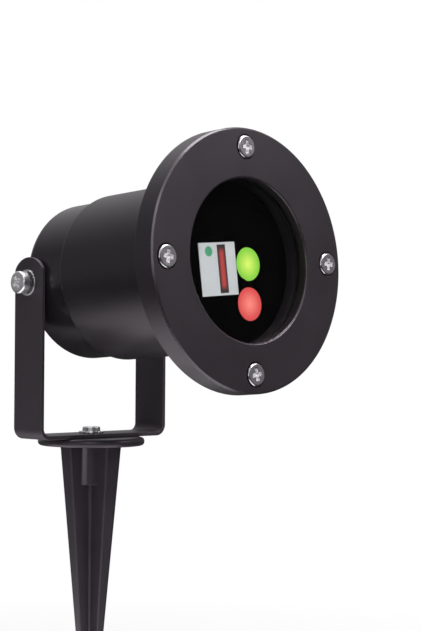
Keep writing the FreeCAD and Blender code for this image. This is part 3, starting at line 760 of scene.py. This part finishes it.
# The rim chamfer and the lip get the lighter coat, which paints their thin highlight.
for face in bezel_bm.faces:
    middle = face.calc_center_median()
    on_rim = middle.xy.length > bezel_radius - rim_chamfer and middle.z > bezel_front - rim_chamfer
    on_lip = middle.xy.length < bezel_opening + opening_round and middle.z > bezel_front - opening_round
    face.material_index = 1 if on_rim or on_lip else 0
make_piece(bezel_bm, "turned_bezel", "head", [bezel_coat, highlight_edge_coat], "bezel", head_axes)


# %% [markdown]
# ## Cross-recess screws
# A pan-head screw is a domed disc with a tapered cross punched into it.
# The head comes off the lathe, and two tapered blades cut the cross,
# turned a little differently on every screw, because no two are tightened to the same angle.
# The recess gets a pale finish of its own, a painted highlight where light catches its walls, while the top of the
# head is greyer.

# %% A blade that cuts the recess
def blade(length, width, top, depth, taper):
    """A tapered bar that cuts two arms of a cross recess."""
    bm = bmesh.new()
    bmesh.ops.create_cube(bm, size=1.0)
    for vert in bm.verts:
        low = vert.co.z < 0
        narrow = taper if low else 1.0
        vert.co.x *= length * narrow
        vert.co.y *= width * (1 + narrow) / 2
        vert.co.z = top - depth if low else top + overrun / 2
    return bm


# %% One screw, cut and softened
dome_share = 0.28
tip_share = 0.3
recess_length = 1.20
recess_width = 0.38
recess_depth = 0.36
recess_taper = 0.62
recess_reach = 0.6
recess_lip = 0.1 * MM
screw_edge = 0.07 * MM


def cross_screw(head_radius, head_height, shank_length, turn):
    """A pan-head screw with its head's underside at zero and its shank below."""
    bm = lathe([
        (0, -shank_length), (shank_radius, -shank_length), (shank_radius, 0), (head_radius, 0),
        (head_radius, head_height), (0, head_height),
    ], steps=64, closed=False)
    round_ring(bm, head_radius, head_height, head_height * dome_share, segments=6)
    round_ring(bm, shank_radius, -shank_length, shank_radius * tip_share, segments=2)
    arms = []
    for quarter in range(2):
        arm = blade(head_radius * recess_length, head_radius * recess_width,
                    head_height, head_height * recess_depth, recess_taper)
        turned = Matrix.Rotation(turn + quarter * QUARTER_TURN, 4, "Z")
        bmesh.ops.transform(arm, matrix=turned, verts=arm.verts)
        arms.append(arm)
    bm = carved(bm, arms)
    soften(bm, screw_edge)
    # Faces in the recess get the pale finish, which paints the highlight on its walls.
    for face in bm.faces:
        middle = face.calc_center_median()
        sunk = 0 < middle.z < head_height - recess_lip and middle.xy.length < recess_reach * head_radius
        face.material_index = 1 if sunk else 0
    return bm


# %% Four bezel screws
bezel_screw_turns = (-0.1, -0.05, -0.15, 0.13)
screw_finishes = [screw_zinc, recess_highlight_zinc]
screws_bm = bmesh.new()
for angle, turn in zip(screw_angles, bezel_screw_turns):
    screw = cross_screw(screw_head_radius, screw_head_height, screw_seat - screw_end, turn)
    join(screws_bm, screw, around(angle, screw_circle) @ Matrix.Translation((0, 0, screw_seat)))
make_piece(screws_bm, "cross_bezel_screws", "head", screw_finishes, "bezel_screws",
           head_axes)

# %% [markdown]
# ## Yoke
# The yoke is one flat steel strap, bent twice, whose arms end in an arc about the pivot.
# It is drawn as a sheet without thickness, the way a sheet-metal worker thinks of it:
# a floor, two bends, two arms. One half is drawn and mirrored.
# Solidify gives the sheet its gauge, and a small round breaks the cut edges.
# Carving it from a block would also work, but then each bend needs an inner and an outer round that agree.

# %% Where the strap is
yoke_low, yoke_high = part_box("yoke")
gauge = yoke_high.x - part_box("pivot_pads")[1].x
bend_inside = 3.2 * MM
bend_radius = bend_inside + gauge / 2
half_width = yoke_high.y
sheet_x = yoke_high.x - gauge / 2
sheet_z = yoke_low.z + gauge / 2
end_radius = yoke_high.z - pivot.z
corner_round = 3.0 * MM
corner_middle = half_width - corner_round
corner_angle = math.acos(corner_middle / (end_radius - corner_round))
corner_height = pivot.z + corner_middle * math.tan(corner_angle)
print("strap gauge", round(gauge / MM, 2), "mm, width", round(2 * half_width / MM, 1), "mm")


# %% Half of the strap, as a sheet
def edges_in(geometry):
    """The edges among what an operator gives back."""
    return [item for item in geometry if isinstance(item, bmesh.types.BMEdge)]


def verts_in(geometry):
    """The corners among what an operator gives back."""
    return [item for item in geometry if isinstance(item, bmesh.types.BMVert)]


def draw_out(bm, edges, offset):
    """Extrudes edges by an offset and gives the new edges."""
    drawn = bmesh.ops.extrude_edge_only(bm, edges=edges)["geom"]
    bmesh.ops.translate(bm, vec=offset, verts=verts_in(drawn))
    return edges_in(drawn)


strap = bmesh.new()
middle_line = strap.edges.new([strap.verts.new((0, side * half_width, sheet_z)) for side in (-1, 1)])
floor_edge = draw_out(strap, [middle_line], (sheet_x - bend_radius, 0, 0))
floor_edge = [edge for edge in floor_edge if all(vert.co.x > NEAR for vert in edge.verts)]
bend = bmesh.ops.spin(strap, geom=floor_edge + list(floor_edge[0].verts), axis=(0, -1, 0), angle=QUARTER_TURN,
                      cent=(sheet_x - bend_radius, 0, sheet_z + bend_radius), steps=12)
draw_out(strap, edges_in(bend["geom_last"]), (0, 0, corner_height - sheet_z - bend_radius))
print("half of the strap:", len(strap.faces), "faces")


# %% The arc at the arm's end, and the other half
def swing(bm, point, centre, angle, steps):
    """Draws an arc across the arm from a point, about a centre, and gives its last point."""
    arc = bmesh.ops.spin(bm, geom=[point], cent=centre, axis=(1, 0, 0), angle=angle, steps=steps)
    return verts_in(arc["geom_last"])[0]


corner = max(strap.verts, key=lambda vert: (round(vert.co.z, 6), vert.co.y))
corner = swing(strap, corner, (sheet_x, corner_middle, corner_height), corner_angle, steps=8)
corner = swing(strap, corner, (sheet_x, 0, pivot.z), math.pi - 2 * corner_angle, steps=40)
swing(strap, corner, (sheet_x, -corner_middle, corner_height), corner_angle, steps=8)
bmesh.ops.remove_doubles(strap, verts=strap.verts, dist=NEAR)
arm_end = [edge for edge in strap.edges if not edge.link_faces]
arm_end += [edge for edge in strap.edges if all(abs(vert.co.z - corner_height) < NEAR for vert in edge.verts)]
bmesh.ops.contextual_create(strap, geom=arm_end)
bmesh.ops.mirror(strap, geom=strap.verts[:] + strap.edges[:] + strap.faces[:], axis="X", merge_dist=NEAR)
bmesh.ops.remove_doubles(strap, verts=strap.verts, dist=NEAR)
bmesh.ops.recalc_face_normals(strap, faces=strap.faces)
print("strap sheet:", len(strap.faces), "faces")

# %% Its gauge, its holes and its broken edges
pin_clearance = 0.08 * MM
pin_reach = sheet_x + 3 * overrun
strap_edge = 0.35 * MM
pin_hole = rod(shank_radius + pin_clearance, -pin_reach, pin_reach)
across = Matrix.Translation(pivot) @ Matrix.Rotation(QUARTER_TURN, 4, "Y")
bmesh.ops.transform(pin_hole, matrix=across, verts=pin_hole.verts)
stake_hole = rod(shank_radius + screw_clearance, yoke_low.z - overrun, yoke_low.z + gauge + overrun)
strap = carved(strap, [pin_hole, stake_hole], gauge)
soften(strap, strap_edge, segments=3)
make_piece(strap, "bent_strap", "yoke", [strap_coat], "yoke")

# %% [markdown]
# ## Pivot and stake hardware
# Each pivot bolt sits on a flat washer, with a split spring washer between.
# The stake screw has a flat washer only.
# A spring washer is a square wire wound into not quite a full turn, so its two ends step past each other:
# the wire's section is spun with a small rise, which is exactly how it is wound.

# %% Washers
washer_hole = shank_radius + screw_clearance
washer_edge = 0.22 * MM
spring_rise_share = 0.16
spring_split = 0.9 * MM
spring_edge = 0.12 * MM
spring_steps = 60


def flat_washer(outer, start, end):
    """A punched flat washer along z."""
    bm = lathe([(washer_hole, start), (outer, start), (outer, end), (washer_hole, end)])
    soften(bm, washer_edge, segments=3)
    return bm


def spring_washer(outer, start, end):
    """A split washer wound from square wire, with its two ends a little apart."""
    rise = (end - start) * spring_rise_share
    top = end - rise
    profile = ((washer_hole, start), (outer, start), (outer, top), (washer_hole, top))
    bm = bmesh.new()
    section = [bm.verts.new((radius, 0, height)) for radius, height in profile]
    edges = [bm.edges.new(pair) for pair in zip(section, section[1:] + section[:1])]
    bmesh.ops.spin(bm, geom=section + edges, axis=(0, 0, 1), cent=(0, 0, 0),
                   angle=FULL_TURN - spring_split / outer, steps=spring_steps,
                   dvec=(0, 0, rise / spring_steps))
    bmesh.ops.holes_fill(bm, edges=[edge for edge in bm.edges if edge.is_boundary], sides=4)
    bmesh.ops.recalc_face_normals(bm, faces=bm.faces)
    soften(bm, spring_edge)
    return bm


# %% Where the pivot hardware is
arm_out = yoke_high.x
washer_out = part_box("pivot_washers")[1].x
spring_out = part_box("pivot_spring_washers")[1].x
bolt_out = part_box("pivot_bolts")[1].x
bolt_end = min(abs(point.x) for point in points_of("pivot_bolts", upright))
pivot_washer_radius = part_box("pivot_washers")[1].y - pivot.y
spring_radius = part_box("pivot_spring_washers")[1].y - pivot.y
bolt_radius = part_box("pivot_bolts")[1].y - pivot.y
outward = [Matrix.Translation(pivot) @ Matrix.Rotation(side * QUARTER_TURN, 4, "Y") for side in (-1, 1)]
print("bolt heads", round(2 * bolt_radius / MM, 1), "mm across")

# %% The same stack on both pivots
bolt_turns = (0.5, 0.2)
bolt_finishes = [bolt_zinc, recess_highlight_zinc]
washers_bm = bmesh.new()
springs_bm = bmesh.new()
bolts_bm = bmesh.new()
for place, turn in zip(outward, bolt_turns):
    join(washers_bm, flat_washer(pivot_washer_radius, arm_out, washer_out), place)
    join(springs_bm, spring_washer(spring_radius, washer_out, spring_out), place)
    bolt = cross_screw(bolt_radius, bolt_out - spring_out, spring_out - bolt_end, turn)
    join(bolts_bm, bolt, place @ Matrix.Translation((0, 0, spring_out)))
make_piece(washers_bm, "flat_pivot_washers", "head", [zinc], "pivot_washers")
make_piece(springs_bm, "split_pivot_washers", "head", [dark_steel], "pivot_spring_washers")
make_piece(bolts_bm, "cross_pivot_bolts", "head", bolt_finishes, "pivot_bolts")

# %% And on the stake
stake_screw_turn = 0.9
strap_top = yoke_low.z + gauge
washer_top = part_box("stake_washer")[1].z
stake_screw_low, stake_screw_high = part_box("stake_screw")
washer_bm = flat_washer(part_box("stake_washer")[1].x, strap_top, washer_top)
make_piece(washer_bm, "flat_stake_washer", "stake", [zinc], "stake_washer")
screw_bm = cross_screw(stake_screw_high.x, stake_screw_high.z - washer_top,
                       washer_top - stake_screw_low.z, stake_screw_turn)
make_piece(screw_bm, "cross_stake_screw", "stake", bolt_finishes, "stake_screw",
           Matrix.Translation((0, 0, washer_top)))

# %% [markdown]
# The stake's round boss takes that screw. It comes out of a polished part of the mould,
# so it is smoother than the ribs, and it stands out a little from the corners between them.
# A rod off the lathe, with its lower rim rounded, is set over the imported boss, which is slimmer.

# %% Screw boss
boss_radius = 9.0 * MM
boss_length = 17.0 * MM
boss_round = 0.2 * MM
boss_top = yoke_low.z / 2
boss_bm = rod(boss_radius, -boss_length, boss_top, steps=96)
round_ring(boss_bm, boss_radius, -boss_length, boss_round, segments=2)
make_piece(boss_bm, "screw_boss", "stake", [boss_plastic])

# %% [markdown]
# ## Window and optics
# The front glass is a thick clear disc with ground edges. Its coating keeps it from mirroring the room,
# which a refractive index close to that of air imitates, so the inside stays as dark as it is in life.
# It casts no shadow here, so that the lamps reach the sticker behind it as they do in daylight.

# %% Front glass
glass_tint = (0.97, 0.985, 0.98, 1)
coated_index = 1.1
smear_size = 14 * MM
smear_detail = 4.0
smear_range = (0.35, 0.75)
smear_roughness = (0.0, 0.05)
ground_edge = 0.4 * MM
glass_finish, tree, shader, where = new_finish("window_glass")
smear = noise(tree, where, smear_size, smear_detail)
connect(tree, shader, {
    "Base Color": glass_tint, "Transmission Weight": 1.0, "IOR": coated_index,
    "Roughness": ranged(tree, smear, *smear_range, *smear_roughness),
})
glass_radius, glass_back, glass_front = ring_of("front_glass")[1:]
glass_bm = rod(glass_radius, glass_back, glass_front, steps=128)
soften(glass_bm, ground_edge)
pane = make_piece(glass_bm, "clear_window", "head", [glass_finish], "front_glass", head_axes)
pane.visible_shadow = False


# %% [markdown]
# Behind the glass, two laser modules shine into two discs of diffraction film,
# which is ruled with a grid too fine to see.
# Lit from behind, the film glows most in the middle, so distance from the middle drives the glow.
# The grid is drawn coarser than life, just fine enough to break up the glow.

# %% Places measured in other axes
def in_axes(tree, where, axes):
    """The place on a piece, measured in other axes."""
    return add_node(tree, "ShaderNodeMapping", {
        "Vector": where, "Location": axes.to_translation(), "Rotation": axes.to_euler(),
    }, vector_type="TEXTURE").outputs["Vector"]


def middle_of(node, axes):
    """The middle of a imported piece's box in the given axes."""
    points = points_of(node, axes)
    return Vector([(min(p[i] for p in points) + max(p[i] for p in points)) / 2 for i in range(3)])


# %% Lit diffraction film
glow_reach = 6.0 * MM
ruling_width = 0.9 * MM
wave_width = 0.31  # one wave of the Wave texture at a scale of 1
ruling_share = 0.25
film_dark = (0.02, 0.02, 0.02, 1)
film_roughness = 0.25


def lit_film(name, node, core, edge):
    """Film that glows about the middle of its disc."""
    film, tree, shader, where = new_finish(name)
    local = in_axes(tree, where, head_axes @ Matrix.Translation(middle_of(node, head_axes)))
    near = ranged(tree, from_axis(tree, local), 0.0, glow_reach, 1.0, 0.0)
    wave = {"Vector": local, "Scale": wave_width / ruling_width}
    rulings = [add_node(tree, "ShaderNodeTexWave", wave, bands_direction=axis) for axis in "XY"]
    grid = calculated(tree, "MULTIPLY", *[ruling.outputs["Fac"] for ruling in rulings])
    lit = add_node(tree, "ShaderNodeMath", {0: grid, 1: ruling_share, 2: near},
                   operation="MULTIPLY_ADD", use_clamp=True).outputs[0]
    connect(tree, shader, {
        "Base Color": film_dark, "Roughness": film_roughness,
        "Emission Color": between(tree, lit, edge, core), "Emission Strength": 1.0,
    })
    wear(frame["nodes"][node], film)
    print("lit", node)


lit_film("green_film", "green_grating", core=(0.70, 0.90, 0.12), edge=(0.20, 0.62, 0.03))
lit_film("red_film", "red_grating", core=(0.97, 0.24, 0.20), edge=(0.72, 0.05, 0.05))

# %% Lenses behind the film
lens_colours = {
    "green_lens": ((0.10, 0.35, 0.06), (0.16, 0.48, 0.09)),
    "red_lens": ((0.35, 0.03, 0.03), (0.48, 0.05, 0.05)),
}
for node, (dark, light) in lens_colours.items():
    lens_glass = finish(node + "_glass", dark, light, rough=(0.05, 0.12), grain=0.5 * MM, relief=0.001 * MM)
    wear(frame["nodes"][node], lens_glass)
print("lenses:", len(lens_colours))

# %% [markdown]
# ## Sticker
# A small paper sticker on the plate behind the glass marks the two windows:
# a plain green dot and a plain red band.
# The ink is made of simple masks measured in the sticker's own axes, so that it needs no picture.

# %% Where the sticker is
sticker_turn = math.radians(4.0)
sticker_axes = head_axes @ Matrix.Rotation(sticker_turn, 4, "Z")
sticker_axes = sticker_axes @ Matrix.Translation(middle_of("sticker", sticker_axes))
sticker_corner = max(points_of("sticker", sticker_axes), key=lambda point: point.x + point.y)
print("sticker", round(2 * sticker_corner.x / MM, 1), "by", round(2 * sticker_corner.y / MM, 1), "mm")

# %% Paper, band and dot
fibre_size = 0.6 * MM
fibre_detail = 4.0
sticker_shades = ((0.53, 0.54, 0.56), (0.60, 0.61, 0.63))
sticker_roughness = (0.45, 0.6)
band_left = 0.0
band_right = 4.8 * MM
band_half = 9.9 * MM
band_blur = 0.12 * MM
core_left = 1.2 * MM
core_right = 3.7 * MM
core_half = 7.6 * MM
core_blur_across = 0.7 * MM
core_blur_along = 1.2 * MM
band_inks = ((0.018, 0.006, 0.007), (0.46, 0.04, 0.035))
dot_place = (-4.8 * MM, 7.3 * MM, 0)
dot_inside = 1.9 * MM
dot_outside = 2.3 * MM
dot_ink = (0.05, 0.31, 0.155)
print("band", round(2 * band_half / MM, 1), "mm long, dot", round(2 * dot_outside / MM, 1), "mm across")


# %% Printed paper
def inside(tree, value, low, high, blur):
    """1 where a value lies between two limits, with slightly blurred edges."""
    above = ranged(tree, value, low - blur, low + blur)
    below = ranged(tree, value, high - blur, high + blur, 1.0, 0.0)
    return calculated(tree, "MULTIPLY", above, below)


paper_print, tree, shader, where = new_finish("printed_paper", specular=0.3)
spot = add_node(tree, "ShaderNodeSeparateXYZ", {"Vector": in_axes(tree, where, sticker_axes)}).outputs
fibre = ranged(tree, noise(tree, where, fibre_size, fibre_detail), *patch_range)
band = calculated(tree, "MULTIPLY", inside(tree, spot["X"], band_left, band_right, band_blur),
                  inside(tree, spot["Y"], -band_half, band_half, band_blur))
core = calculated(tree, "MULTIPLY", inside(tree, spot["X"], core_left, core_right, core_blur_across),
                  inside(tree, spot["Y"], -core_half, core_half, core_blur_along))
from_dot = distance(tree, in_axes(tree, where, sticker_axes @ Matrix.Translation(dot_place)))
dot = ranged(tree, from_dot, dot_inside, dot_outside, 1.0, 0.0)
colour = between(tree, fibre, *sticker_shades)
colour = between(tree, band, colour, between(tree, core, *band_inks))
colour = between(tree, dot, colour, dot_ink)
connect(tree, shader, {"Base Color": colour, "Roughness": ranged(tree, fibre, 0.0, 1.0, *sticker_roughness)})
wear(frame["nodes"]["sticker"], paper_print)
print("sticker wears", paper_print.name)
